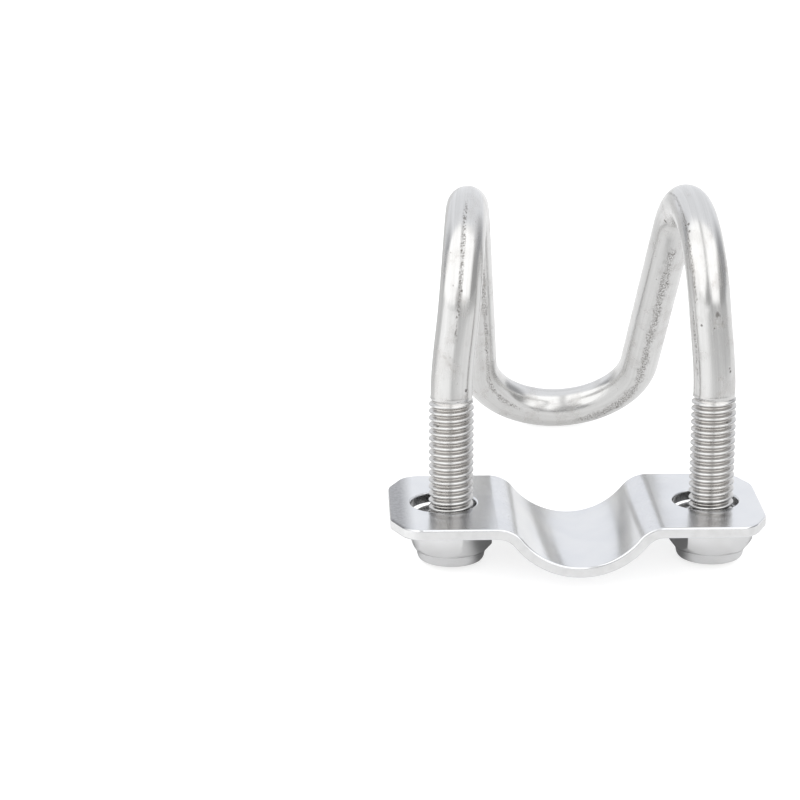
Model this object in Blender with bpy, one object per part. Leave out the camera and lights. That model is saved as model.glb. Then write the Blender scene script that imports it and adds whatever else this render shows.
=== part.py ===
"""Double-bent pipe U-bolt, M8: a rod bent into a U whose closed end is folded back over its two threaded
legs, a pressed saddle plate with two clearance holes, and two nylon-insert lock nuts.

The scene is in metres: the origin is the middle of the saddle's seat, x runs from leg to leg, y runs from
the legs towards the closed bend, and z runs up the legs. The sizes below are in millimetres.
"""

import math

import bmesh
import bpy
from mathutils import Vector

MM = 0.001
TURN = 2 * math.pi

# Rod. Its heights, and the nuts', are from the plate's top.
MAJOR_R, MINOR_R = 3.94, 3.26  # rolled M8 thread, on its crests and in its roots
PITCH = 1.25
CREST, ROOT = 0.14, 0.14  # shares of a pitch that are level
SHANK_R = 3.64  # the rolled thread stands a little proud of the plain rod
RUN_OUT = 1.6  # length over which the thread fades into the plain rod
STUD_END, THREAD_TOP = -9.6, 20.0
END_R, END_RISE = 3.01, 1.1  # radius of a leg's end face, and the slope of the chamfer round it
LEG_HALF = 22.8  # half the distance between the legs
ROD_X, ROD_Y = 1.1, -0.6  # the rod lies off centre in the plate's clearance holes
FOLD_Z, FOLD_R = 34.6, 14.8  # centre and radius of the fold over each leg
SLOPE = math.radians(36.2)  # of the arms, from the legs
ARM = 39.8
FOLD_START_HALF, FOLD_END_HALF = 21.6, 18.35  # the U narrows towards its closed end
TOE_IN = math.radians(4.1)  # of each arm, towards the other
PLAIN_STEPS, FOLD_STEPS, ARM_STEPS, BEND_STEPS = 5, 18, 3, 12
COLUMNS = 16  # round the rod
ROWS = 4  # to a pitch

# Saddle plate
PLATE_LONG, PLATE_WIDE, SHEET = 65.0, 30.0, 1.9
SEAT_R, SEAT_DEPTH = 12.5, 7.0  # for a 25 mm pipe
SHOULDER_R = 5.6
HOLE_HALF, HOLE_R, HOLE_RIM = 23.0, 5.75, 0.35
CORNER_X, CORNER_Y, CORNER_R = 3.0, 6.4, 4.0  # the cut across each corner, and its rounding
SEAT_FACETS, SHOULDER_FACETS, CORNER_FACETS, HOLE_SIDES = 8, 8, 4, 40

# Nuts
NUT_FLATS, NUT_H, HEX_H = 13.0, 8.0, 6.05
NUT_GAP = 0.12  # to the plate
CROWN_H, FOOT_H = 0.62, 0.75  # chamfers on the hexagon's corners, above and below
COLLAR_R = 5.95
COLLAR_STEPS = ((0.9, 0.1), (0.4, 0.25), (0.0, 0.6))  # height above the nut's end, and how far in
TAP_CLEARANCE = 0.17  # radial, between the nut's thread and the rod's
TAP_FROM = 2.2  # height of the thread's lower end above the nut's end
COUNTERSINK_R = 4.39
INSERT_IN, INSERT_OUT, INSERT_H = 4.12, 5.0, 1.9
LIP_R, LIP_H = 4.6, 0.55  # the collar's end, rolled over the insert
POCKET_GAP = 0.03  # between the insert and the collar
POCKET_SPARE = 0.1  # the pocket is deeper than the insert by this
NUT_SIDES, RING_SIDES = 48, 32
NUT_TURNS = {"left": math.radians(-18.0), "right": math.radians(-8.0)}
SIDES = {"left": -1, "right": 1}

WELD = 0.002

FINISHES = {  # base colour, roughness, metallic
    "satin_rod": ((0.66, 0.65, 0.64), 0.25, 1.0),
    "polished_plate": ((0.80, 0.81, 0.83), 0.10, 1.0),
    "bright_nut": ((0.70, 0.70, 0.70), 0.22, 1.0),
    "natural_nylon": ((0.86, 0.85, 0.80), 0.45, 0.0),
}


def clear_scene():
    for obj in list(bpy.data.objects):
        bpy.data.objects.remove(obj, do_unlink=True)


def finish(name):
    """The material of this name, made the first time it's asked for."""
    if name in bpy.data.materials:
        return bpy.data.materials[name]
    colour, roughness, metallic = FINISHES[name]
    material = bpy.data.materials.new(name)
    material.use_nodes = True
    shader = material.node_tree.nodes["Principled BSDF"]
    shader.inputs["Base Color"].default_value = (*colour, 1.0)
    shader.inputs["Roughness"].default_value = roughness
    shader.inputs["Metallic"].default_value = metallic
    return material


def add_object(name, points, faces, place=(0.0, 0.0, 0.0), material=None):
    """A closed mesh facing outwards. Its points and its place are in millimetres."""
    mesh = bpy.data.meshes.new(name)
    mesh.from_pydata([Vector(p) * MM for p in points], [], faces)
    mesh.validate()
    work = bmesh.new()
    work.from_mesh(mesh)
    bmesh.ops.remove_doubles(work, verts=work.verts, dist=WELD * MM)
    bmesh.ops.dissolve_degenerate(work, edges=work.edges, dist=WELD * MM / 2)
    bmesh.ops.recalc_face_normals(work, faces=work.faces)
    if work.calc_volume(signed=True) < 0:
        bmesh.ops.reverse_faces(work, faces=work.faces)
    work.to_mesh(mesh)
    work.free()
    mesh.shade_smooth()
    mesh.set_sharp_from_angle(angle=math.radians(35))
    if material:
        mesh.materials.append(finish(material))
    obj = bpy.data.objects.new(name, mesh)
    obj.location = Vector(place) * MM
    bpy.context.scene.collection.objects.link(obj)
    return obj


def cut(obj, cutter):
    boolean = obj.modifiers.new("cut_" + cutter.name, "BOOLEAN")
    boolean.operation, boolean.object = "DIFFERENCE", cutter
    cutter.hide_render = True
    cutter.display_type = "WIRE"


def circle(radius, z, sides, x=0.0):
    return [
        Vector((x + radius * math.cos(TURN * j / sides), radius * math.sin(TURN * j / sides), z))
        for j in range(sides)
    ]


def skin(rings, closed=False):
    """Faces between rings of points. The ends are filled, or closed joins the last ring to the first."""
    points = [p for ring in rings for p in ring]
    count, total = len(rings[0]), len(points)
    faces = [] if closed else [list(range(count))[::-1], list(range(total - count, total))]
    for i in range(len(rings) - (not closed)):
        for j in range(count):
            a, b = i * count + j, i * count + (j + 1) % count
            faces.append([a, b, (b + count) % total, (a + count) % total])
    return points, faces


def thread_depth(phase):
    """0 on a crest and 1 in a root, for a phase of 0 to 1 along one pitch."""
    from_root = abs(phase % 1.0 - 0.5) * 2
    return min(1.0, max(0.0, (1 - CREST - from_root) / (1 - CREST - ROOT)))


def threaded_skin(low, high, radius_at, x=0.0):
    """An open skin whose rows follow the thread, held to two heights.

    radius_at(z, depth) gives the radius. The last column joins the first one a pitch further up.
    """
    first = int((low / PITCH - 1) * ROWS) - 1
    last = int((high / PITCH + 1) * ROWS) + 1
    points, faces = [], []
    for k in range(first, last + 1):
        for j in range(COLUMNS):
            z = PITCH * (k / ROWS + j / COLUMNS)
            held = min(high, max(low, z))
            r = radius_at(held, thread_depth(k / ROWS + (held - z) / PITCH))
            angle = TURN * j / COLUMNS
            points.append(Vector((x + r * math.cos(angle), r * math.sin(angle), held)))
    for i in range(last - first):
        for j in range(COLUMNS):
            a = i * COLUMNS + j
            b = (i + ROWS) * COLUMNS if j == COLUMNS - 1 else a + 1
            if b + COLUMNS < len(points):
                faces.append([a, b, b + COLUMNS, a + COLUMNS])
    return points, faces


def stud_radius(z, depth):
    """Radius of a leg: chamfered at its end, and running out into the plain rod above."""
    r = MAJOR_R + (MINOR_R - MAJOR_R) * depth
    faded = min(1.0, max(0.0, (z - THREAD_TOP + RUN_OUT) / RUN_OUT))
    r += (SHANK_R - r) * faded
    return min(r, END_R + (z - STUD_END) * END_RISE)


def rod_path():
    """The rod's middle line from the top of the right leg's thread to the top of the left one's."""
    sweep = math.pi - SLOPE
    plain = FOLD_Z - THREAD_TOP
    lean = (FOLD_END_HALF - FOLD_START_HALF) / (FOLD_R * sweep)
    half = []
    for k in range(PLAIN_STEPS + 1):
        s = k / PLAIN_STEPS
        x = LEG_HALF + (FOLD_START_HALF - LEG_HALF) * s * s * (3 - 2 * s) + lean * plain * s * s * (s - 1)
        half.append(Vector((x, 0.0, THREAD_TOP + plain * s)))
    for k in range(1, FOLD_STEPS + 1):
        t = sweep * k / FOLD_STEPS
        x = FOLD_START_HALF + (FOLD_END_HALF - FOLD_START_HALF) * k / FOLD_STEPS
        half.append(Vector((x, FOLD_R * (1 - math.cos(t)), FOLD_Z + FOLD_R * math.sin(t))))
    down = Vector((0.0, math.sin(SLOPE), -math.cos(SLOPE)))
    across = Vector((-1.0, 0.0, 0.0))
    along = down * math.cos(TOE_IN) + across * math.sin(TOE_IN)
    inward = across * math.cos(TOE_IN) - down * math.sin(TOE_IN)
    fold_end = half[-1]
    half += [fold_end + along * ARM * k / ARM_STEPS for k in range(1, ARM_STEPS + 1)]
    bend_start = half[-1]
    bend_r = bend_start.x / math.cos(TOE_IN)
    for k in range(1, BEND_STEPS + 1):
        a = (math.pi / 2 - TOE_IN) * k / BEND_STEPS
        half.append(bend_start + bend_r * (along * math.sin(a) + inward * (1 - math.cos(a))))
    return half + [Vector((-p.x, p.y, p.z)) for p in reversed(half[:-1])]


def swept_rings(path):
    """Rings round the path, carried along it without twisting. The legs stand upright at both its ends."""
    rings, side = [], Vector((1.0, 0.0, 0.0))
    for i, point in enumerate(path):
        along = (path[min(i + 1, len(path) - 1)] - path[max(i - 1, 0)]).normalized()
        side = (side - along * side.dot(along)).normalized()
        if i in (0, len(path) - 1):
            outwards = 1.0 if i == 0 else -1.0
            along, side = Vector((0.0, 0.0, outwards)), Vector((outwards, 0.0, 0.0))
        up = along.cross(side)
        turns = [TURN * j / COLUMNS for j in range(COLUMNS)]
        rings.append([point + SHANK_R * (math.cos(t) * side + math.sin(t) * up) for t in turns])
    return rings


def build_rod():
    """The two legs, their end faces and the swept rod between them, in one skin."""
    points, faces = [], []

    def take(more, sides):
        faces.extend([i + len(points) for i in face] for face in sides)
        points.extend(more)

    for x in (LEG_HALF, -LEG_HALF):
        take(*threaded_skin(STUD_END, THREAD_TOP, stud_radius, x))
        take(circle(END_R, STUD_END, COLUMNS, x), [list(range(COLUMNS))])
    swept, sides = skin(swept_rings(rod_path()))
    take(swept, sides[2:])  # without its two ends, which the legs close
    add_object("bent_rod", points, faces, (ROD_X, ROD_Y, SEAT_DEPTH), "satin_rod")


def seat_profile(below):
    """Half of the saddle's section (x, z) at a depth below its top face, from the middle outwards."""
    rise = SEAT_R - SEAT_DEPTH + SHOULDER_R
    shoulder_x = math.sqrt((SEAT_R + SHOULDER_R) ** 2 - rise**2)
    swing = math.atan2(shoulder_x, rise)
    step = swing / (SEAT_FACETS + 0.5)  # the middle facet is level, and all touch the seat's circle
    half = []
    for k in range(SEAT_FACETS):
        a, r = step * (k + 0.5), (SEAT_R + below) / math.cos(step / 2)
        half.append((r * math.sin(a), SEAT_R - r * math.cos(a)))
    for k in range(SHOULDER_FACETS + 1):
        a, r = swing * (1 - k / SHOULDER_FACETS), SHOULDER_R - below
        half.append((shoulder_x - r * math.sin(a), SEAT_DEPTH - SHOULDER_R + r * math.cos(a)))
    return half


def corner_outline():
    """(x, half width) of the plate round one cut corner: a rounding at each end of the cut."""
    end, side = PLATE_LONG / 2, PLATE_WIDE / 2
    cut_out = math.atan2(CORNER_X, CORNER_Y)  # direction that the cut faces, from x
    outline = []
    for x, y, start, stop in (
        (end - CORNER_X, side, math.pi / 2, cut_out),
        (end, side - CORNER_Y, cut_out, 0.0),
    ):
        middle, reach = (start + stop) / 2, CORNER_R / math.cos((start - stop) / 2)
        for k in range(CORNER_FACETS + 1):
            a = start + (stop - start) * k / CORNER_FACETS
            outline.append((
                x - reach * math.cos(middle) + CORNER_R * math.cos(a),
                y - reach * math.sin(middle) + CORNER_R * math.sin(a),
            ))
    return outline


def build_plate():
    """The saddle as a run of four-sided sections along x, with its two holes cut."""
    stations = [(top, under, PLATE_WIDE / 2) for top, under in zip(seat_profile(0.0), seat_profile(SHEET))]
    for x, width in corner_outline():
        stations.append(((x, SEAT_DEPTH), (x, SEAT_DEPTH - SHEET), width))
    mirrored = [((-a, b), (-c, d), width) for (a, b), (c, d), width in reversed(stations)]
    rings = [
        [(xa, -width, za), (xa, width, za), (xb, width, zb), (xb, -width, zb)]
        for (xa, za), (xb, zb), width in mirrored + stations
    ]
    plate = add_object("saddle_plate", *skin(rings), material="polished_plate")
    for name, side in SIDES.items():
        cut(plate, hole_cutter("hole_" + name, side * HOLE_HALF))


def hole_cutter(name, x):
    """A punched hole with its top rim broken. It runs a millimetre past the sheet each way."""
    wide = HOLE_R + HOLE_RIM
    sections = ((1.0, wide), (0.0, wide), (-HOLE_RIM, HOLE_R), (-SHEET - 1.0, HOLE_R))
    rings = [circle(r, z, HOLE_SIDES) for z, r in sections]
    return add_object(name, *skin(rings), place=(x, 0.0, SEAT_DEPTH))


def nut_ring(z, limit, turn, is_round):
    """The nut's section at a height: a circle, or the hexagon where it's within the circle."""
    ring = []
    for j in range(NUT_SIDES):
        t = TURN * j / NUT_SIDES
        side = NUT_FLATS / 2 / math.cos(t % (TURN / 6) - TURN / 12)
        r = limit if is_round else min(side, limit)
        ring.append(Vector((r * math.cos(t + turn), r * math.sin(t + turn), z)))
    return ring


def build_nut(name, place):
    """A lock nut under the plate, with its collar downwards, and the nylon ring inside the collar."""
    top = -SHEET - NUT_GAP
    foot, floor = top - HEX_H, top - NUT_H
    flat = NUT_FLATS / 2
    corner = flat / math.cos(TURN / 12)
    between = (flat + corner) / 2
    hexed = (
        (top, flat - NUT_GAP), (top - CROWN_H / 2, between), (top - CROWN_H, corner),
        (foot + FOOT_H, corner), (foot + FOOT_H / 2, between), (foot, flat),
    )
    collar = ((foot - 0.15, COLLAR_R + 0.25), (foot - 0.5, COLLAR_R))
    collar += tuple((floor + up, COLLAR_R - inwards) for up, inwards in COLLAR_STEPS)
    rings = [nut_ring(z, limit, NUT_TURNS[name], False) for z, limit in hexed]
    rings += [nut_ring(z, limit, NUT_TURNS[name], True) for z, limit in collar]
    nut = add_object("lock_nut_" + name, *skin(rings), place=place, material="bright_nut")
    cut(nut, tap(name, place, floor + TAP_FROM, top))
    lip, pocket_r = floor + LIP_H, INSERT_OUT + POCKET_GAP
    pocket_top = lip + INSERT_H + POCKET_SPARE
    sections = ((floor - 1.0, LIP_R), (lip, LIP_R), (lip, pocket_r), (pocket_top, pocket_r))
    pocket = [circle(r, z, RING_SIDES) for z, r in sections]
    cut(nut, add_object("pocket_" + name, *skin(pocket), place=place))
    low = lip + POCKET_SPARE / 2
    high = low + INSERT_H
    ring = [circle(r, z, RING_SIDES) for z, r in (
        (low, INSERT_IN), (low, INSERT_OUT), (high, INSERT_OUT), (high, INSERT_IN),
    )]
    add_object("nylon_insert_" + name, *skin(ring, closed=True), place=place, material="natural_nylon")


def tap(name, place, low, top):
    """The nut's thread as a cutter: the rod's own thread, larger by the clearance, with a countersink."""

    def radius(z, depth):
        r = MAJOR_R + TAP_CLEARANCE + (MINOR_R - MAJOR_R) * depth
        return max(r, min(COUNTERSINK_R, COUNTERSINK_R + z - top))

    high = top + 0.8
    points, faces = threaded_skin(low, high, radius)
    for z in (low, high):
        faces.append([len(points) + j for j in range(COLUMNS)])
        for j in range(COLUMNS):
            r, t = radius(z, thread_depth(z / PITCH - j / COLUMNS)), TURN * j / COLUMNS
            points.append(Vector((r * math.cos(t), r * math.sin(t), z)))
    return add_object("tap_" + name, points, faces, place)


clear_scene()
build_rod()
build_plate()
for nut_name, nut_side in SIDES.items():
    build_nut(nut_name, (ROD_X + nut_side * LEG_HALF, ROD_Y, SEAT_DEPTH))
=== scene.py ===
"""Double-bent pipe U-bolt in stainless steel, standing on its two nuts and its closed bend.

x runs from leg to leg, y from the legs towards the closed bend, and z up the legs. The origin is the
middle of the saddle's seat. Lengths are in metres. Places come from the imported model's boxes.
"""

import math

import bmesh
import bpy
from mathutils import Matrix, Vector


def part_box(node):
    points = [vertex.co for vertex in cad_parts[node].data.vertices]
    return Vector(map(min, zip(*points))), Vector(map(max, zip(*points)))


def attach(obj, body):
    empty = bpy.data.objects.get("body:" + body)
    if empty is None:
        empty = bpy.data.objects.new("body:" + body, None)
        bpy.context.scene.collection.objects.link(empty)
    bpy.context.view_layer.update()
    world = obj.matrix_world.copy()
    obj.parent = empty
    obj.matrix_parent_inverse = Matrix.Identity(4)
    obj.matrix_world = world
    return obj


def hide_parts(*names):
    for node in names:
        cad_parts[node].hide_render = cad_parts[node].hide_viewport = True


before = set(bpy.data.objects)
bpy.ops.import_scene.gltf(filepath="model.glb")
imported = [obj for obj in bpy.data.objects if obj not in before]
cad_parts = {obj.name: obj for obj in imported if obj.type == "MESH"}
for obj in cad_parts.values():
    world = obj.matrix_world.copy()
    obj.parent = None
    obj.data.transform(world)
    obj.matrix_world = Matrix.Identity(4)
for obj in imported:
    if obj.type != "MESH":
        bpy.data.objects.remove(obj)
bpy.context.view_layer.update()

MM = 0.001
TURN = 2 * math.pi
WELD = 0.0005 * MM  # points this close become one
ON_PLANE = 0.0001 * MM  # points this close to a plane are on it

# Rod
PITCH = 1.25 * MM
MAJOR_R, MINOR_R, SHANK_R = 3.93 * MM, 3.29 * MM, 3.64 * MM
CREST_EDGE, FLANK = 0.93, 0.84  # where the thread's crest ends and how long its flank is, in half pitches
THREAD_LONG = 29.6 * MM
RUN_OUT = 2.1 * MM  # over which the thread fades into the shank
END_INSET, END_CHAMFER = 0.25 * MM, 1.1  # how far the stud's end is inside the root, and its slope
FOLD_R = 14.8 * MM
SLOPE = math.radians(36.2)  # of the arms, from upright
ARM = 39.8 * MM
FOLD_START_HALF, FOLD_END_HALF = 21.6 * MM, 18.35 * MM
TOE_IN = math.radians(4.1)
COLUMNS = 48  # round the rod
ROWS = 12  # to each pitch of the thread
PLAIN_STEPS, FOLD_STEPS, ARM_STEPS, BEND_STEPS = 10, 60, 14, 40  # along half of the shank
NICKS = (  # angle round the rod, length along it, size
    (math.radians(-78), 14.5 * MM, 0.75 * MM),
    (math.radians(150), 46.0 * MM, 0.5 * MM),
)
SCUFFS = (  # angle round the rod, half width as an angle, and the lengths between which it runs
    (math.radians(-150), 0.09, 2.0 * MM, 17.0 * MM),
    (math.radians(-136), 0.13, 15.0 * MM, 44.0 * MM),
    (math.radians(103), 0.34, 53.0 * MM, 112.0 * MM),
    (math.radians(134), 0.2, 122.0 * MM, 182.0 * MM),
    (math.radians(-84), 0.14, 196.0 * MM, 221.0 * MM),
)

# Saddle plate
SEAT_R, SHOULDER_R = 12.5 * MM, 5.6 * MM
HOLE_HALF, HOLE_R = 23.0 * MM, 5.75 * MM
CORNER_X, CORNER_Y, CORNER_R = 3.0 * MM, 6.4 * MM, 4.0 * MM
TOP_BREAK, UNDER_BREAK = 0.38 * MM, 0.16 * MM  # widths of the broken edges
HOLE_STEPS, CORNER_STEPS = 72, 5
BEND_STRIPS = 48  # over half of the bent length

# Nuts
NUT_FLATS = 13.0 * MM
HEX_H = 6.05 * MM
FACE_R, UNDER_R = 6.36 * MM, 6.3 * MM  # of the round bearing face, and of the hexagon's round underside
CROWN_FALL, FOOT_RISE = 0.577, 1.1  # slopes of the chamfers at the two ends of the hexagon
CORNER_ROUND = 0.35 * MM
EASED = 0.07 * MM  # on the hexagon's edges
MOUTH_R = 4.45 * MM  # of the countersink
THREAD_PLAY = 0.16 * MM
COLLAR_R, LIP_R = 5.95 * MM, 4.6 * MM
# Steps of radius and height, in millimetres
NECK_STEPS = ((0.3, -0.1), (0.17, -0.2), (0.06, -0.42), (0.0, -0.72))  # from the hexagon down to the collar
ROLL_STEPS = ((-0.04, 0.95), (-0.13, 0.6), (-0.27, 0.32), (-0.45, 0.11), (-0.66, 0.0))  # collar, over its end
LIP_STEPS = ((0.15, 0.0), (0.03, 0.05), (0.0, 0.17), (0.0, 0.52))  # the lip that holds the insert
POCKET_STEPS = ((5.03, 0.53), (5.03, 2.52), (4.3, 2.6))  # the insert's pocket, up to the thread
POCKET_DEEP = POCKET_STEPS[-1][1] * MM
FACET_COLUMNS = 16
NUT_TURNS = {"left": math.radians(-18.0), "right": math.radians(-8.0)}

# Nylon inserts
INSERT_IN, INSERT_EASED = 4.12 * MM, 0.15 * MM
INSERT_COLUMNS = 72

rod_low, rod_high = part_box("bent_rod")
plate_low, plate_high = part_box("saddle_plate")
SHEET = -plate_low.z
PLATE_TOP = plate_high.z


def leg_axis(side):
    """Where a leg's axis crosses z = 0, from the ring round it."""
    low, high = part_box("nylon_insert_" + side)
    return Vector(((low.x + high.x) / 2, (low.y + high.y) / 2, 0.0))


LEGS = {side: leg_axis(side) for side in ("left", "right")}
ROD_MIDDLE = (LEGS["left"] + LEGS["right"]) / 2
LEG_HALF = (LEGS["right"].x - LEGS["left"].x) / 2
STUD_END = rod_low.z
THREAD_TOP = STUD_END + THREAD_LONG
FOLD_Z = rod_high.z - FOLD_R - SHANK_R


# ---------------------------------------------------------------- nodes


def grey(level):
    return (level, level, level, 1.0)


def add(tree, kind, inputs=None, **settings):
    """A node with its settings, and its inputs set or linked by name or number."""
    made = tree.nodes.new(kind)
    for name, value in settings.items():
        setattr(made, name, value)
    for name, value in (inputs or {}).items():
        socket = made.inputs[name]
        if isinstance(value, bpy.types.NodeSocket):
            tree.links.new(value, socket)
        else:
            socket.default_value = value
    return made


def maths(tree, operation, *values, clamp=False):
    made = add(tree, "ShaderNodeMath", dict(enumerate(values)), operation=operation)
    made.use_clamp = clamp
    return made.outputs[0]


def vectors(tree, operation, *values, output=0):
    made = add(tree, "ShaderNodeVectorMath", dict(enumerate(values)), operation=operation)
    return made.outputs[output]


def remap(tree, value, low, high, to_low=0.0, to_high=1.0, smooth=False):
    inputs = {"Value": value, 1: low, 2: high, 3: to_low, 4: to_high}
    kind = "SMOOTHSTEP" if smooth else "LINEAR"
    return add(tree, "ShaderNodeMapRange", inputs, interpolation_type=kind).outputs[0]


def blend(tree, share, first, second):
    """A value that goes from first to second as share goes from 0 to 1."""
    return add(tree, "ShaderNodeMix", {0: share, 2: first, 3: second}, data_type="FLOAT").outputs[0]


def blend_colour(tree, share, first, second):
    return add(tree, "ShaderNodeMix", {0: share, 6: first, 7: second}, data_type="RGBA").outputs[2]


def noise(tree, place, scale, detail, roughness=0.5):
    inputs = {"Vector": place, "Scale": scale, "Detail": detail, "Roughness": roughness}
    return add(tree, "ShaderNodeTexNoise", inputs).outputs["Fac"]


def attribute(tree, name, output):
    return add(tree, "ShaderNodeAttribute", attribute_name=name).outputs[output]


def total(tree, first, *others):
    """Several masks as one, held to 1."""
    for mask in others:
        first = maths(tree, "ADD", first, mask, clamp=True)
    return first


def with_shares(tree, value, *masks):
    """A value with a share of each mask added to it."""
    for mask, share in masks:
        value = maths(tree, "ADD", value, maths(tree, "MULTIPLY", mask, share))
    return value


def layered(tree, colour, *layers):
    """A colour covered by others, each with its mask and its share of the cover where the mask is 1."""
    for mask, share, over in layers:
        colour = blend_colour(tree, maths(tree, "MULTIPLY", mask, share), colour, over)
    return colour


def new_group(name, output, places=("Place",), **numbers):
    """An empty shader group with its inputs, and the socket that its output is linked to."""
    tree = bpy.data.node_groups.new(name, "ShaderNodeTree")
    for label in places:
        tree.interface.new_socket(label, in_out="INPUT", socket_type="NodeSocketVector")
    for label, value in numbers.items():
        socket = tree.interface.new_socket(label, in_out="INPUT", socket_type="NodeSocketFloat")
        socket.default_value = value
    tree.interface.new_socket(output, in_out="OUTPUT", socket_type="NodeSocketFloat")
    given = tree.nodes.new("NodeGroupInput").outputs
    return tree, given, tree.nodes.new("NodeGroupOutput").inputs[output]


def brushing_group():
    """Fine lines along the third axis of the metal's own coordinates."""
    tree, given, lines = new_group("lengthwise_brushing", "Lines", Across=4000.0, Along=80.0)
    across, along = given["Across"], given["Along"]
    stretch = add(tree, "ShaderNodeCombineXYZ", {0: across, 1: across, 2: along}).outputs[0]
    place = vectors(tree, "MULTIPLY", given["Place"], stretch)
    streaks = noise(tree, place, scale=1.0, detail=3.0, roughness=0.65)
    tree.links.new(remap(tree, streaks, 0.32, 0.68), lines)
    return tree


def specks_group():
    """Small pits, one to a cell, in the given share of the cells."""
    tree, given, specks = new_group("scattered_specks", "Specks", Cells=500.0, Size=0.15, Share=0.2)
    cells = add(tree, "ShaderNodeTexVoronoi", {"Vector": given["Place"], "Scale": given["Cells"]}).outputs
    chance = add(tree, "ShaderNodeSeparateColor", {0: cells["Color"]}).outputs
    chosen = maths(tree, "LESS_THAN", chance[0], given["Share"])
    size = maths(tree, "MULTIPLY", given["Size"], maths(tree, "ADD", chance[1], 0.4))
    inner = maths(tree, "MULTIPLY", size, 0.5)
    pit = remap(tree, cells["Distance"], inner, size, 1.0, 0.0, smooth=True)
    tree.links.new(maths(tree, "MULTIPLY", pit, chosen), specks)
    return tree


def patches_group():
    """Soft-edged irregular patches over the given level of a noise."""
    tree, given, patches = new_group("dull_patches", "Patches", Scale=150.0, Level=0.55, Soft=0.1)
    clouds = noise(tree, given["Place"], given["Scale"], detail=5.0)
    low = maths(tree, "SUBTRACT", given["Level"], given["Soft"])
    high = maths(tree, "ADD", given["Level"], given["Soft"])
    tree.links.new(remap(tree, clouds, low, high, smooth=True), patches)
    return tree


def nick_group():
    """One dent at a stated place."""
    tree, given, nick = new_group("single_nick", "Nick", places=("Place", "Centre"), Size=0.0006)
    wobble = noise(tree, given["Place"], scale=1800.0, detail=3.0)
    away = vectors(tree, "DISTANCE", given["Place"], given["Centre"], output="Value")
    edge = maths(tree, "MULTIPLY", given["Size"], remap(tree, wobble, 0.3, 0.7, 0.45, 1.35))
    tree.links.new(remap(tree, away, maths(tree, "MULTIPLY", edge, 0.45), edge, 1.0, 0.0), nick)
    return tree


def scuff_group():
    """A worn, broken line along the metal, at an angle round the rod and between two lengths."""
    tree, given, scuff = new_group("scuffed_line", "Scuff", Angle=0.0, Width=0.2, Start=0.0, Stop=0.05)
    place = given["Place"]
    x, y, along = add(tree, "ShaderNodeSeparateXYZ", {0: place}).outputs
    angle = maths(tree, "SUBTRACT", maths(tree, "ARCTAN2", y, x), given["Angle"])
    off = maths(tree, "ABSOLUTE", maths(tree, "WRAP", angle, math.pi, -math.pi))
    uneven = remap(tree, noise(tree, place, scale=320.0, detail=4.0), 0.3, 0.7, 0.3, 1.5)
    ragged = maths(tree, "MULTIPLY", given["Width"], uneven)
    band = remap(tree, off, maths(tree, "MULTIPLY", ragged, 0.3), ragged, 1.0, 0.0, smooth=True)
    fade = 3.0 * MM
    begins = remap(tree, maths(tree, "SUBTRACT", along, given["Start"]), 0.0, fade, smooth=True)
    ends = remap(tree, maths(tree, "SUBTRACT", given["Stop"], along), 0.0, fade, smooth=True)
    torn = remap(tree, noise(tree, place, scale=4300.0, detail=2.0), 0.44, 0.58, smooth=True)
    band = maths(tree, "MULTIPLY", band, torn)
    tree.links.new(maths(tree, "MULTIPLY", band, maths(tree, "MULTIPLY", begins, ends)), scuff)
    return tree


GROUPS = {
    "brushing": brushing_group(),
    "specks": specks_group(),
    "patches": patches_group(),
    "nick": nick_group(),
    "scuff": scuff_group(),
}


def use(tree, group, place, **values):
    """A group placed in a material, with its values, and its one output."""
    made = tree.nodes.new("ShaderNodeGroup")
    made.node_tree = GROUPS[group]
    tree.links.new(place, made.inputs["Place"])
    for name, value in values.items():
        made.inputs[name].default_value = value
    return made.outputs[0]


def new_material(name, metallic):
    made = bpy.data.materials.new(name)
    made.use_nodes = True
    shader = made.node_tree.nodes["Principled BSDF"]
    shader.inputs["Metallic"].default_value = metallic
    return made, made.node_tree, shader


def surface(tree, shader, colour, roughness, height, depth):
    """Links a finish to its shader. depth is how far a height of 1 stands up."""
    tree.links.new(colour, shader.inputs["Base Color"])
    tree.links.new(roughness, shader.inputs["Roughness"])
    bump = add(tree, "ShaderNodeBump", {"Strength": 1.0, "Distance": depth, "Height": height})
    tree.links.new(bump.outputs["Normal"], shader.inputs["Normal"])


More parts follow.
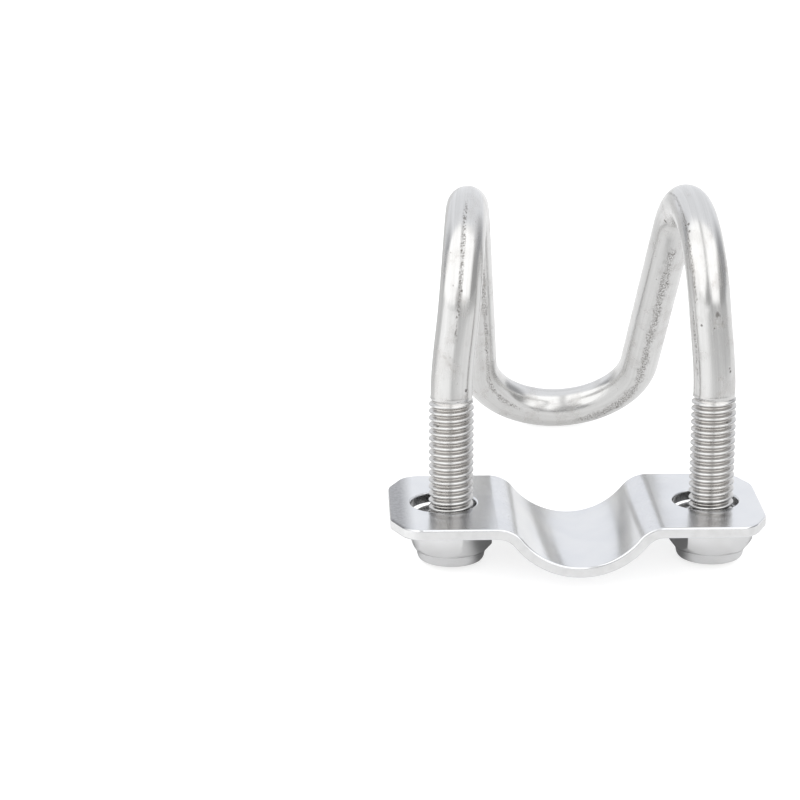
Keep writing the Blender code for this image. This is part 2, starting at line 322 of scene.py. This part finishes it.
def rod_steel():
    """Tumbled, drawn bar: long fine lines, dull mottling, pits, scuffs and nicks, with dark thread roots."""
    made, tree, shader = new_material("rod_steel", metallic=1.0)
    place, groove = attribute(tree, "unbent", "Vector"), attribute(tree, "groove", "Fac")
    fine = use(tree, "brushing", place, Across=5200.0, Along=110.0)
    broad = use(tree, "brushing", place, Across=1300.0, Along=22.0)
    dull = use(tree, "patches", place, Scale=260.0, Level=0.57, Soft=0.1)
    stain = use(tree, "patches", place, Scale=900.0, Level=0.62, Soft=0.06)
    pits = use(tree, "specks", place, Cells=430.0, Size=0.13, Share=0.16)
    dots = use(tree, "specks", place, Cells=1300.0, Size=0.2, Share=0.12)
    grit = use(tree, "specks", place, Cells=2100.0, Size=0.42, Share=0.5)
    lines = [
        use(tree, "scuff", place, Angle=angle, Width=width, Start=start, Stop=stop)
        for angle, width, start, stop in SCUFFS
    ]
    dents = []
    for angle, along, size in NICKS:
        centre = (SHANK_R * math.cos(angle), SHANK_R * math.sin(angle), along)
        dents.append(use(tree, "nick", place, Centre=centre, Size=size))
    scuffs = total(tree, *lines)
    faint, torn = maths(tree, "MULTIPLY", dots, 0.5), maths(tree, "MULTIPLY", grit, scuffs)
    marks = total(tree, faint, pits, torn, *dents)
    soiled = maths(tree, "MULTIPLY", dull, remap(tree, stain, 0.0, 1.0, 0.35, 1.0))
    drawn = blend_colour(tree, broad, (0.61, 0.607, 0.60, 1), (0.68, 0.677, 0.67, 1))
    colour = layered(
        tree, drawn,
        (scuffs, 0.8, (0.2, 0.19, 0.18, 1)),
        (soiled, 0.5, (0.40, 0.375, 0.35, 1)),
        (groove, 0.5, (0.36, 0.33, 0.30, 1)),
        (marks, 0.75, (0.13, 0.12, 0.11, 1)),
    )
    rough = remap(tree, fine, 0.0, 1.0, 0.16, 0.26)
    rough = with_shares(tree, rough, (dull, 0.1), (scuffs, 0.12), (marks, 0.2))
    height = with_shares(tree, maths(tree, "MULTIPLY", fine, 0.25), (broad, 0.35), (marks, -2.0))
    surface(tree, shader, colour, rough, height, 0.007 * MM)
    return made


def plate_steel():
    """Polished sheet: hairlines along it, an orange-peel haze where it was bent, and a dark band painted over
    one end.
    """
    made, tree, shader = new_material("plate_steel", metallic=1.0)
    place, bent = attribute(tree, "unbent", "Vector"), attribute(tree, "groove", "Fac")
    hairs = use(tree, "brushing", place, Across=2600.0, Along=60.0)
    peel = use(tree, "patches", place, Scale=1900.0, Level=0.5, Soft=0.2)
    cloud = use(tree, "patches", place, Scale=140.0, Level=0.5, Soft=0.2)
    pits = use(tree, "specks", place, Cells=520.0, Size=0.09, Share=0.1)
    haze = maths(tree, "MULTIPLY", bent, remap(tree, peel, 0.0, 1.0, 0.35, 1.0))
    # A dark band is painted over the plate's left end, fading out between 1.6 and 4.6 mm from its tip
    along = add(tree, "ShaderNodeSeparateXYZ", {0: place}).outputs[2]
    tip = -blank_along(plate_high.x)
    painted_dark_end = remap(tree, along, tip + 1.6 * MM, tip + 4.6 * MM, 1.0, 0.0, smooth=True)
    polished = blend_colour(tree, cloud, (0.71, 0.72, 0.74, 1), (0.75, 0.755, 0.765, 1))
    colour = layered(
        tree, polished,
        (haze, 0.3, (0.6, 0.6, 0.62, 1)),
        (painted_dark_end, remap(tree, peel, 0.0, 1.0, 0.75, 0.92), (0.22, 0.22, 0.225, 1)),
        (pits, 0.5, grey(0.3)),
    )
    rough = with_shares(tree, remap(tree, hairs, 0.0, 1.0, 0.14, 0.2), (haze, 0.12))
    height = with_shares(tree, maths(tree, "MULTIPLY", hairs, 0.1), (haze, 0.8))
    surface(tree, shader, colour, rough, height, 0.004 * MM)
    return made


def cut_steel(name, light, dark, smoothest, roughest):
    """A cut face of the sheet: matt, with shear lines through the thickness."""
    made, tree, shader = new_material(name, metallic=1.0)
    place = attribute(tree, "unbent", "Vector")
    x, y, z = add(tree, "ShaderNodeSeparateXYZ", {0: place}).outputs
    turned = add(tree, "ShaderNodeCombineXYZ", {0: z, 1: y, 2: x}).outputs[0]
    shear = use(tree, "brushing", turned, Across=2600.0, Along=420.0)
    torn = use(tree, "patches", place, Scale=620.0, Level=0.56, Soft=0.2)
    colour = blend_colour(tree, torn, grey(light), grey(dark))
    rough = remap(tree, shear, 0.0, 1.0, smoothest, roughest)
    height = with_shares(tree, torn, (shear, 0.5))
    surface(tree, shader, colour, rough, height, 0.006 * MM)
    return made


def nut_steel():
    """Cold-formed nut: smooth, with faint die marks and a few specks."""
    made, tree, shader = new_material("nut_steel", metallic=1.0)
    place = attribute(tree, "unbent", "Vector")
    drawn = use(tree, "brushing", place, Across=900.0, Along=240.0)
    cloud = use(tree, "patches", place, Scale=300.0, Level=0.52, Soft=0.25)
    dots = use(tree, "specks", place, Cells=700.0, Size=0.1, Share=0.06)
    formed = blend_colour(tree, cloud, (0.70, 0.70, 0.705, 1), grey(0.665))
    colour = layered(tree, formed, (dots, 0.5, (0.25, 0.24, 0.23, 1)))
    rough = with_shares(tree, remap(tree, drawn, 0.0, 1.0, 0.19, 0.24), (cloud, 0.05))
    height = maths(tree, "SUBTRACT", maths(tree, "MULTIPLY", drawn, 0.3), dots)
    surface(tree, shader, colour, rough, height, 0.003 * MM)
    return made


def insert_nylon():
    """Natural nylon ring, slightly waxy and unevenly tinted."""
    made, tree, shader = new_material("insert_nylon", metallic=0.0)
    place = attribute(tree, "unbent", "Vector")
    cloud = use(tree, "patches", place, Scale=700.0, Level=0.5, Soft=0.2)
    turning = use(tree, "brushing", place, Across=2200.0, Along=900.0)
    colour = blend_colour(tree, cloud, (0.83, 0.82, 0.76, 1), (0.77, 0.75, 0.68, 1))
    rough = remap(tree, turning, 0.0, 1.0, 0.38, 0.55)
    surface(tree, shader, colour, rough, turning, 0.01 * MM)
    shader.inputs["IOR"].default_value = 1.53
    return made


def table_white():
    """The plain pale table. It glows: evenly for the camera, and with painted light and shade in the metal's
    reflections.
    """
    lit, glow = 0.42, 0.5  # how much of the light it sends into the metal is reflected, and how much is its own painted glow
    made, tree, shader = new_material("table_white", metallic=0.0)
    place = add(tree, "ShaderNodeTexCoord").outputs["Object"]
    x, y, _ = add(tree, "ShaderNodeSeparateXYZ", {0: place}).outputs
    leftwards = remap(tree, x, -0.02, -0.09, smooth=True)
    back = remap(tree, y, 0.0, 0.06, smooth=True)
    # Painted light and shade for the metal's reflections: paler to the left in front, and darker to the left
    # behind
    painted_left_light_and_shade = maths(tree, "MULTIPLY", leftwards, maths(tree, "MULTIPLY_ADD", back, -0.5, 0.2))
    # Painted shade for the metal's reflections: darker far away, in front and to the right
    reach = vectors(tree, "DISTANCE", place, (0.03, 0.0, 0.0), output="Value")
    painted_far_shade = remap(tree, reach, 0.152, 0.19, 0.0, 0.42, smooth=True)
    for share in (back, leftwards):
        painted_far_shade = maths(tree, "MULTIPLY", painted_far_shade, maths(tree, "SUBTRACT", 1.0, share))
    level = maths(tree, "SUBTRACT", maths(tree, "ADD", painted_left_light_and_shade, 1.0), painted_far_shade)
    # Painted shadow for the metal's reflections: darkest under the plate
    aside, ahead = maths(tree, "ABSOLUTE", x), maths(tree, "ABSOLUTE", y)
    under = remap(tree, maths(tree, "MULTIPLY_ADD", aside, 0.35, ahead), 0.018, 0.012, smooth=True)
    under = maths(tree, "MULTIPLY", under, remap(tree, aside, 0.034, 0.026, smooth=True))
    level = maths(tree, "MULTIPLY", level, remap(tree, under, 0.0, 1.0, 1.0, 0.25))
    cloud = use(tree, "patches", place, Scale=6.0, Level=0.5, Soft=0.3)
    plain = blend_colour(tree, cloud, grey(0.44), grey(0.46))
    direct = add(tree, "ShaderNodeLightPath").outputs["Is Camera Ray"]
    # The table glows though it holds no lamp: an even grey 0.75 for the camera, and a painted glow of level
    # times glow in the metal's reflections
    for name, share, seen in (("Base Color", lit, plain), ("Emission Color", glow, grey(0.75))):
        sent = maths(tree, "MULTIPLY", level, share)
        shaded = add(tree, "ShaderNodeCombineColor", {0: sent, 1: sent, 2: sent}).outputs[0]
        tree.links.new(blend_colour(tree, direct, shaded, seen), shader.inputs[name])
    shader.inputs["Emission Strength"].default_value = 1.0
    shader.inputs["Specular IOR Level"].default_value = 0.2
    shader.inputs["Roughness"].default_value = 0.7
    return made


# ---------------------------------------------------------------- meshes


def place_in_scene(name, data):
    made = bpy.data.objects.new(name, data)
    bpy.context.scene.collection.objects.link(made)
    return made


def mesh_object(name, points, faces, unbent, groove=None):
    """A closed, outward-facing object, smooth but for its faces of more than four corners."""
    mesh = bpy.data.meshes.new(name)
    mesh.from_pydata(points, [], faces)
    carried = mesh.attributes.new("unbent", "FLOAT_VECTOR", "POINT")
    carried.data.foreach_set("vector", [c for p in unbent for c in p])
    depth = mesh.attributes.new("groove", "FLOAT", "POINT")
    depth.data.foreach_set("value", groove or [0.0] * len(points))
    work = bmesh.new()
    work.from_mesh(mesh)
    bmesh.ops.remove_doubles(work, verts=work.verts, dist=WELD)
    bmesh.ops.recalc_face_normals(work, faces=work.faces)
    if work.calc_volume(signed=True) < 0:
        bmesh.ops.reverse_faces(work, faces=work.faces)
    for face in work.faces:
        face.smooth = len(face.verts) <= 4
    work.to_mesh(mesh)
    work.free()
    return place_in_scene(name, mesh)


def around(axis, radius, angle, z):
    return axis + Vector((radius * math.cos(angle), radius * math.sin(angle), z))


def ring_faces(base, rings, count, closed=False):
    """Faces from each ring of points to the next, and with closed from the last back to the first."""
    faces = []
    for k in range(rings if closed else rings - 1):
        here, there = base + k * count, base + (k + 1) % rings * count
        for j in range(count):
            after = (j + 1) % count
            faces.append((here + j, here + after, there + after, there + j))
    return faces


def eased(share):
    """A share held to 0 to 1, with a soft start and stop."""
    share = min(1.0, max(0.0, share))
    return share * share * (3 - 2 * share)


def thread_depth(phase):
    """0 on the rounded crest and 1 in the root, for a phase of 0 to 1 along one pitch."""
    up = abs(phase % 1.0 - 0.5) * 2
    return eased((CREST_EDGE - up) / FLANK)


def helix_depth(z, angle):
    return thread_depth((z - THREAD_TOP) / PITCH - angle / TURN)


def helix_grid(angles, low, high, radius_at):
    """Rows that follow the thread between two heights, held to both. Gives (radius, angle, z) and faces."""
    first = math.floor((low - THREAD_TOP) / PITCH * ROWS) - ROWS - 1
    last = math.ceil((high - THREAD_TOP) / PITCH * ROWS) + 1
    count = len(angles)
    points, faces = [], []
    for k in range(first, last + 1):
        for angle in angles:
            z = THREAD_TOP + PITCH * (k / ROWS + angle / TURN)
            z = min(high, max(low, z))
            points.append((radius_at(z, angle), angle, z))
    for i in range(last - first):
        for j in range(count):
            a, b = i * count + j, i * count + j + 1
            if j == count - 1:  # the last column joins the first one, a pitch further up
                b = (i + ROWS) * count
            if b + count < len(points):
                faces.append((a, b, b + count, a + count))
    return points, faces


def stud_radius(z, angle):
    """Chamfered at the end, and running out into the shank at the top."""
    r = MAJOR_R + (MINOR_R - MAJOR_R) * helix_depth(z, angle)
    r += (SHANK_R - r) * eased((z - THREAD_TOP + RUN_OUT) / RUN_OUT)
    return min(r, MINOR_R - END_INSET + END_CHAMFER * (z - STUD_END))


def rod_path():
    """The rod's middle line from the top of the right thread to the top of the left one."""
    sweep = math.pi - SLOPE
    plain = FOLD_Z - THREAD_TOP
    lean = (FOLD_END_HALF - FOLD_START_HALF) / (FOLD_R * sweep)
    half = []
    for k in range(PLAIN_STEPS + 1):
        s = k / PLAIN_STEPS
        x = LEG_HALF + (FOLD_START_HALF - LEG_HALF) * eased(s) + lean * plain * s * s * (s - 1)
        half.append(Vector((x, 0.0, THREAD_TOP + plain * s)))
    for k in range(1, FOLD_STEPS + 1):
        t = sweep * k / FOLD_STEPS
        x = FOLD_START_HALF + (FOLD_END_HALF - FOLD_START_HALF) * k / FOLD_STEPS
        half.append(Vector((x, FOLD_R * (1 - math.cos(t)), FOLD_Z + FOLD_R * math.sin(t))))

    down = Vector((0.0, math.sin(SLOPE), -math.cos(SLOPE)))
    across = Vector((-1.0, 0.0, 0.0))
    along = down * math.cos(TOE_IN) + across * math.sin(TOE_IN)
    inward = across * math.cos(TOE_IN) - down * math.sin(TOE_IN)
    top = half[-1]
    half += [top + along * ARM * k / ARM_STEPS for k in range(1, ARM_STEPS + 1)]
    start = half[-1]
    bend_r = start.x / math.cos(TOE_IN)
    for k in range(1, BEND_STEPS + 1):
        a = (math.pi / 2 - TOE_IN) * k / BEND_STEPS

        half.append(start + bend_r * (along * math.sin(a) + inward * (1 - math.cos(a))))
    mirrored = [Vector((-p.x, p.y, p.z)) for p in reversed(half[:-1])]
    return [p + ROD_MIDDLE for p in half + mirrored]


def shank_rings(path):
    """Rings carried along the path without twisting: (point, unbent point) pairs, and the path's length."""
    side, walked, rings = Vector((1.0, 0.0, 0.0)), 0.0, []
    for i, point in enumerate(path):
        if i:
            walked += (point - path[i - 1]).length
        along = (path[min(i + 1, len(path) - 1)] - path[max(i - 1, 0)]).normalized()
        side = (side - along * side.dot(along)).normalized()
        if i in (0, len(path) - 1):
            outwards = 1.0 if i == 0 else -1.0
            along, side = Vector((0.0, 0.0, outwards)), Vector((outwards, 0.0, 0.0))
        up = along.cross(side)
        ring = []
        for j in range(COLUMNS):
            c, s = math.cos(TURN * j / COLUMNS), math.sin(TURN * j / COLUMNS)
            place = point + SHANK_R * (c * side + s * up)
            ring.append((place, (SHANK_R * c, SHANK_R * s, walked)))
        rings.append(ring)
    return rings, walked


def build_rod():
    """One skin: the two threaded legs and the bent shank between them."""
    points, unbent, groove, faces = [], [], [], []
    rings, length = shank_rings(rod_path())
    angles = [TURN * j / COLUMNS for j in range(COLUMNS)]
    for side, axis in LEGS.items():
        grid, skin = helix_grid(angles, STUD_END, THREAD_TOP, stud_radius)
        base = len(points)
        faces += [[base + i for i in face] for face in skin]
        for r, angle, z in grid:
            c, s = r * math.cos(angle), r * math.sin(angle)
            points.append(axis + Vector((c, s, z)))
            below = THREAD_TOP - z
            unbent.append((c, s, -below) if side == "right" else (-c, s, length + below))
            deep = max(0.0, min(1.0, (MAJOR_R - r) / (MAJOR_R - MINOR_R)))
            groove.append(deep if below > RUN_OUT * 0.5 else 0.3 * deep)
        end = [i for i in range(base, len(points)) if points[i].z <= STUD_END + ON_PLANE]
        faces.append(end[:COLUMNS])
    base = len(points)
    for ring in rings:
        points += [place for place, _ in ring]
        unbent += [straight for _, straight in ring]
        groove += [0.0] * COLUMNS
    faces += ring_faces(base, len(rings), COLUMNS)
    return mesh_object("bent_rod_body", points, faces, unbent, groove)


def bend_swing():
    """Half the seat's arc, and how far from the middle the plate is flat again."""
    rise = SEAT_R - PLATE_TOP + SHOULDER_R
    flat_x = math.sqrt((SEAT_R + SHOULDER_R) ** 2 - rise**2)
    return math.atan2(flat_x, rise), flat_x


def bend_lengths():
    """Lengths of the seat's half arc and of one shoulder, along the middle of the sheet."""
    swing, _ = bend_swing()
    return (SEAT_R + SHEET / 2) * swing, (SHOULDER_R - SHEET / 2) * swing


def blank_along(x):
    """How far along the flat blank a place on the plate's flat part is from the middle."""
    _, flat_x = bend_swing()
    return x - flat_x + sum(bend_lengths())


def pressed(u, y, t):
    """Where a point of the flat blank goes when the sheet is pressed. t is its height over mid-sheet."""
    swing, flat_x = bend_swing()
    seat, shoulder = bend_lengths()
    sign, out = (1.0 if u >= 0 else -1.0), abs(u)
    if out < seat:
        a = out / (SEAT_R + SHEET / 2)
        r = SEAT_R + SHEET / 2 - t
        x, z = r * math.sin(a), SEAT_R - r * math.cos(a)
    elif out < seat + shoulder:
        a = swing * (1 - (out - seat) / shoulder)
        r = SHOULDER_R - SHEET / 2 + t
        x, z = flat_x - r * math.sin(a), PLATE_TOP - SHOULDER_R + r * math.cos(a)
    else:
        x, z = flat_x + out - seat - shoulder, PLATE_TOP - SHEET / 2 + t
    return Vector((sign * x, y, z))


def rounding_centre(corner, start, stop):
    """Centre of the arc that rounds a corner between two edges with these outward directions."""
    middle = (start + stop) / 2
    reach = CORNER_R / math.cos((stop - start) / 2)
    return corner[0] - reach * math.cos(middle), corner[1] - reach * math.sin(middle)


def blank_outline():
    """The flat blank's outer corners, each cut and rounded, anticlockwise from the first quarter."""
    end, side = blank_along(plate_high.x), plate_high.y
    cut = math.pi / 2 - math.atan2(CORNER_Y, CORNER_X)
    quarter = []
    for corner, start, stop in (
        ((end, side - CORNER_Y), 0.0, cut),
        ((end - CORNER_X, side), cut, math.pi / 2),
    ):
        x, y = rounding_centre(corner, start, stop)
        for k in range(CORNER_STEPS + 1):
            a = start + (stop - start) * k / CORNER_STEPS
            quarter.append((x + CORNER_R * math.cos(a), y + CORNER_R * math.sin(a)))
    upper = quarter + [(-x, y) for x, y in reversed(quarter)]
    return upper + [(-x, -y) for x, y in upper]


def hole_outline(side):
    u = side * blank_along(HOLE_HALF)
    turns = [TURN * k / HOLE_STEPS for k in range(HOLE_STEPS)]
    return [(u + HOLE_R * math.cos(a), HOLE_R * math.sin(a)) for a in turns]


def is_rim(edge, top):
    """An edge between a broad face and a cut side, on the top or the underside."""
    if len(edge.link_faces) != 2:
        return False
    level = all((v.co.z > 0) == top and abs(abs(v.co.z) - SHEET / 2) < ON_PLANE for v in edge.verts)
    return level and edge.calc_face_angle(0.0) > 1.0


def is_side(face, unbent):
    """Whether a face is cut through the sheet, from where it was in the blank."""
    heights = [v[unbent].x for v in face.verts]
    return max(heights) - min(heights) > SHEET * 0.5


def in_hole(face, unbent):
    """Whether a cut face belongs to a hole."""
    u, reach = blank_along(HOLE_HALF), HOLE_R + 0.5 * MM
    return all(math.hypot(abs(v[unbent].z) - u, v[unbent].y) < reach for v in face.verts)


def build_plate():
    """The flat blank with its holes is cut, its edges are broken, and then it is pressed to shape."""
    work = bmesh.new()
    edges = []
    for loop in (blank_outline(), hole_outline(1), hole_outline(-1)):
        verts = [work.verts.new((u, y, -SHEET / 2)) for u, y in loop]
        edges += [work.edges.new((verts[i - 1], verts[i])) for i in range(len(verts))]
    bmesh.ops.triangle_fill(work, edges=edges, use_beauty=True)
    raised = bmesh.ops.extrude_face_region(work, geom=work.faces[:])["geom"]
    for item in raised:
        if isinstance(item, bmesh.types.BMVert):
            item.co.z = SHEET / 2
    bmesh.ops.recalc_face_normals(work, faces=work.faces)
    for top, width in ((True, TOP_BREAK), (False, UNDER_BREAK)):
        rim = [e for e in work.edges if is_rim(e, top)]
        bmesh.ops.bevel(work, geom=rim, offset=width, segments=3, profile=0.5, affect="EDGES")
    seat, shoulder = bend_lengths()
    reach = seat + shoulder
    for k in range(-BEND_STRIPS, BEND_STRIPS + 1):
        everything = work.verts[:] + work.edges[:] + work.faces[:]
        cut = (reach * k / BEND_STRIPS, 0, 0)
        bmesh.ops.bisect_plane(work, geom=everything, dist=ON_PLANE, plane_co=cut, plane_no=(1, 0, 0))
    unbent = work.verts.layers.float_vector.new("unbent")
    groove = work.verts.layers.float.new("groove")
    for vert in work.verts:
        u, y, t = vert.co
        vert[unbent] = Vector((t, y, u))
        from_fold = abs(abs(u) - seat - shoulder * 0.55) / shoulder
        vert[groove] = max(0.0, 1.0 - from_fold)
        vert.co = pressed(u, y, t)
    for face in work.faces:
        face.smooth = True
        face.material_index = 0 if not is_side(face, unbent) else 2 if in_hole(face, unbent) else 1
    mesh = bpy.data.meshes.new("saddle_plate_body")
    work.to_mesh(mesh)
    work.free()
    made = place_in_scene("saddle_plate_body", mesh)
    made.modifiers.new("even_shading", "WEIGHTED_NORMAL").keep_sharp = True
    return made


def hexagon_radius(angle):
    """Distance from the nut's axis to its side, with the six corners rounded."""
    within = (angle % (TURN / 6)) - TURN / 12
    flat = NUT_FLATS / 2
    straight = flat / math.cos(within)
    reach = (flat - CORNER_ROUND) / math.cos(TURN / 12)
    if abs(within) < math.atan2(reach * math.sin(TURN / 12), flat):
        return straight
    off = TURN / 12 - abs(within)
    return reach * math.cos(off) + math.sqrt(CORNER_ROUND**2 - (reach * math.sin(off)) ** 2)


def nut_angles(turn):
    """Angles round the nut, in order from 0 and closer together at its corners."""
    angles = []
    for facet in range(6):
        for k in range(FACET_COLUMNS):
            along = math.sin(math.pi / 2 * (2 * k / FACET_COLUMNS - 1))
            angles.append((turn + TURN / 6 * (facet + 0.5 + along / 2)) % TURN)
    return sorted(angles)


def stepped(radius, level, steps):
    return [(radius + r * MM, level + z * MM) for r, z in steps]


def nut_section(r_side, top, floor):
    """(radius, height) down the outside of the nut at one angle, from the bearing face to the pocket."""
    under = top - HEX_H
    crown = top - (r_side - FACE_R) * CROWN_FALL
    foot = under + (r_side - UNDER_R) * FOOT_RISE
    hexagon = [
        (MOUTH_R, top), (FACE_R - EASED, top), (FACE_R, top - EASED * 0.3),
        (r_side - EASED, crown + EASED * 0.4), (r_side, crown - EASED),
        (r_side, foot + EASED), (r_side - EASED, foot - EASED * 0.5),
        (UNDER_R, under), (UNDER_R - 0.12 * MM, under - 0.06 * MM),
    ]
    collar = stepped(COLLAR_R, under, NECK_STEPS) + stepped(COLLAR_R, floor, ROLL_STEPS)
    return hexagon + collar + stepped(LIP_R, floor, LIP_STEPS) + stepped(0.0, floor, POCKET_STEPS)


def build_nut(side):
    """A lock nut: hexagon with chamfered ends, a rolled collar, and its thread inside."""
    low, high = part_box("lock_nut_" + side)
    floor, top = low.z, high.z
    axis, turn, thread_low = LEGS[side], NUT_TURNS[side], floor + POCKET_DEEP

    def tapped(z, angle):
        r = MAJOR_R + THREAD_PLAY + (MINOR_R - MAJOR_R) * helix_depth(z, angle)
        return max(r, min(MOUTH_R, MINOR_R + 1.1 * MM + z - top))

    angles = nut_angles(turn)
    grid, faces = helix_grid(angles, thread_low, top, tapped)
    sections = [nut_section(hexagon_radius(a - turn), top, floor) for a in angles]
    for a, section in zip(angles, sections):
        section.append((tapped(thread_low, a), thread_low))
    skin = [(r, a, z) for ring in zip(*sections) for a, (r, z) in zip(angles, ring)]
    faces += ring_faces(len(grid), len(sections[0]), len(angles))
    points = [around(axis, r, a, z) for r, a, z in grid + skin]
    middle = axis + Vector((0, 0, (top + floor) / 2))
    return mesh_object("lock_nut_%s_body" % side, points, faces, [p - middle for p in points])


def build_insert(side):
    """The nylon ring, with its edges eased."""
    axis, ease = LEGS[side], INSERT_EASED
    low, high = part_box("nylon_insert_" + side)
    outer = (high.x - low.x) / 2
    profile = [
        (INSERT_IN, low.z + ease * 2), (INSERT_IN + ease, low.z + ease * 0.4), (INSERT_IN + ease * 2, low.z),
        (outer - ease, low.z), (outer, low.z + ease), (outer, high.z - ease), (outer - ease, high.z),
        (INSERT_IN + ease * 2, high.z), (INSERT_IN, high.z - ease * 2),
    ]
    angles = [TURN * j / INSERT_COLUMNS for j in range(INSERT_COLUMNS)]
    points = [around(axis, r, a, z) for r, z in profile for a in angles]
    faces = ring_faces(0, len(profile), INSERT_COLUMNS, closed=True)
    return mesh_object("nylon_insert_%s_body" % side, points, faces, [p - axis for p in points])


# ---------------------------------------------------------------- assembly


def finish_piece(piece, node, body, slot, *materials):
    for material in materials:
        piece.data.materials.append(material)
    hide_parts(node)
    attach(piece, body)


finish_piece(build_rod(), "bent_rod", "bolt", "rod", rod_steel())
plate_finishes = (
    plate_steel(),
    cut_steel("sheared_edge", 0.74, 0.68, 0.34, 0.44),
    # The holes' walls are coloured dark: painted shade inside the holes
    cut_steel("punched_hole_painted_shade", 0.30, 0.22, 0.16, 0.3),
)
finish_piece(build_plate(), "saddle_plate", "saddle", "plate", *plate_finishes)
nut_finish, nylon_finish = nut_steel(), insert_nylon()
for side in LEGS:
    finish_piece(build_nut(side), "lock_nut_" + side, "nut_" + side, "nut", nut_finish)
    finish_piece(build_insert(side), "nylon_insert_" + side, "nut_" + side, "insert", nylon_finish)


# ---------------------------------------------------------------- table, light and camera


def table_plane():
    """The plane that the bolt stands on: a point under the nuts, and its tilt up to the closed bend."""
    nut_low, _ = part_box("lock_nut_left")
    foot = COLLAR_R - 0.6 * MM  # out to where the collar's rolled end touches the table
    rest = Vector((0.0, LEGS["left"].y + foot, nut_low.z))
    bend = min(rod_path(), key=lambda p: abs(p.x - ROD_MIDDLE.x))
    across = Vector((0.0, bend.y - rest.y, bend.z - rest.z))
    tilt = math.atan2(across.z, across.y) - math.asin(SHANK_R / across.length)
    return rest, tilt


def build_table():
    rest, tilt = table_plane()
    half = 4.0
    corners = [(-half, -half, 0), (half, -half, 0), (half, half, 0), (-half, half, 0)]
    mesh = bpy.data.meshes.new("table")
    mesh.from_pydata(corners, [], [(0, 1, 2, 3)])
    mesh.materials.append(table_white())
    table = place_in_scene("table", mesh)
    table.matrix_world = Matrix.Translation(rest) @ Matrix.Rotation(tilt, 4, "X")


def build_world():
    """A lit tent: a bright back wall, a dimmer front with two tall softboxes, and dim walls at the sides."""
    back_wall, side_walls, softboxes = 1.03, 0.43, 1.6
    front_low, front_high = 0.5, 0.78
    world = bpy.data.worlds.new("lit_tent")
    world.use_nodes = True
    bpy.context.scene.world = world
    tree = world.node_tree
    shader = tree.nodes["Background"]
    way = add(tree, "ShaderNodeTexCoord").outputs["Generated"]
    x, y, z = add(tree, "ShaderNodeSeparateXYZ", {0: way}).outputs
    leaning = maths(tree, "MULTIPLY_ADD", maths(tree, "MINIMUM", x, 0.0), 0.3, y)
    front = remap(tree, leaning, 0.06, -0.08, smooth=True)
    level = blend(tree, front, back_wall, remap(tree, z, 0.05, 0.45, front_low, front_high))
    walls = remap(tree, maths(tree, "ABSOLUTE", x), 0.62, 0.92, smooth=True)
    walls = maths(tree, "MULTIPLY", walls, remap(tree, z, 0.75, 0.45, smooth=True))
    level = blend(tree, walls, level, side_walls)
    # The softboxes stand either side of a gap that is wider lower down, and end at the floor
    low = remap(tree, z, 0.6, 0.0, smooth=True)
    off = maths(tree, "ABSOLUTE", maths(tree, "ADD", x, maths(tree, "MULTIPLY_ADD", low, 0.05, 0.12)))
    inner = maths(tree, "MULTIPLY_ADD", low, 0.16, 0.04)
    outer = maths(tree, "MULTIPLY_ADD", low, 0.22, 0.13)
    strips = remap(tree, off, inner, outer, smooth=True)
    strips = maths(tree, "MULTIPLY", strips, remap(tree, off, 0.84, 1.0, 1.0, 0.0, smooth=True))
    strips = maths(tree, "MULTIPLY", strips, remap(tree, z, -0.08, 0.03, smooth=True))
    level = blend(tree, maths(tree, "MULTIPLY", strips, front), level, softboxes)
    direct = add(tree, "ShaderNodeLightPath").outputs["Is Camera Ray"]
    level = blend(tree, direct, level, 1.0)
    tint = blend_colour(tree, maths(tree, "MAXIMUM", front, direct), (0.98, 0.995, 1.03, 1), grey(1.0))
    colour = add(tree, "ShaderNodeVectorMath", {0: tint, "Scale": level}, operation="SCALE").outputs[0]
    tree.links.new(colour, shader.inputs["Color"])
    shader.inputs["Strength"].default_value = 1.0


def build_light(name, place, size, power):
    """A rectangular softbox aimed at the bolt, which the metal doesn't mirror."""
    lamp = bpy.data.lights.new(name, "AREA")
    lamp.shape = "RECTANGLE"
    lamp.size, lamp.size_y = size
    lamp.energy = power
    made = place_in_scene(name, lamp)
    made.location = place
    aim = Vector((0.0, 0.02, 0.02)) - made.location
    made.rotation_euler = aim.to_track_quat("-Z", "Y").to_euler()
    made.visible_glossy = False


def build_camera():
    lens = bpy.data.cameras.new("camera")
    lens.lens, lens.sensor_width = 122.0, 36.0
    lens.clip_start = 0.01
    camera = place_in_scene("camera", lens)
    camera.location = (-0.0420, -0.4497, 0.1594)
    camera.rotation_euler = [math.radians(a) for a in (73.443, 0.067, -1.475)]
    bpy.context.scene.camera = camera


build_table()
build_world()
build_light("overhead_softbox", (0.0, 0.25, 0.90), (1.0, 1.0), 1.5)
build_camera()
bpy.context.scene.view_settings.view_transform = "Standard"
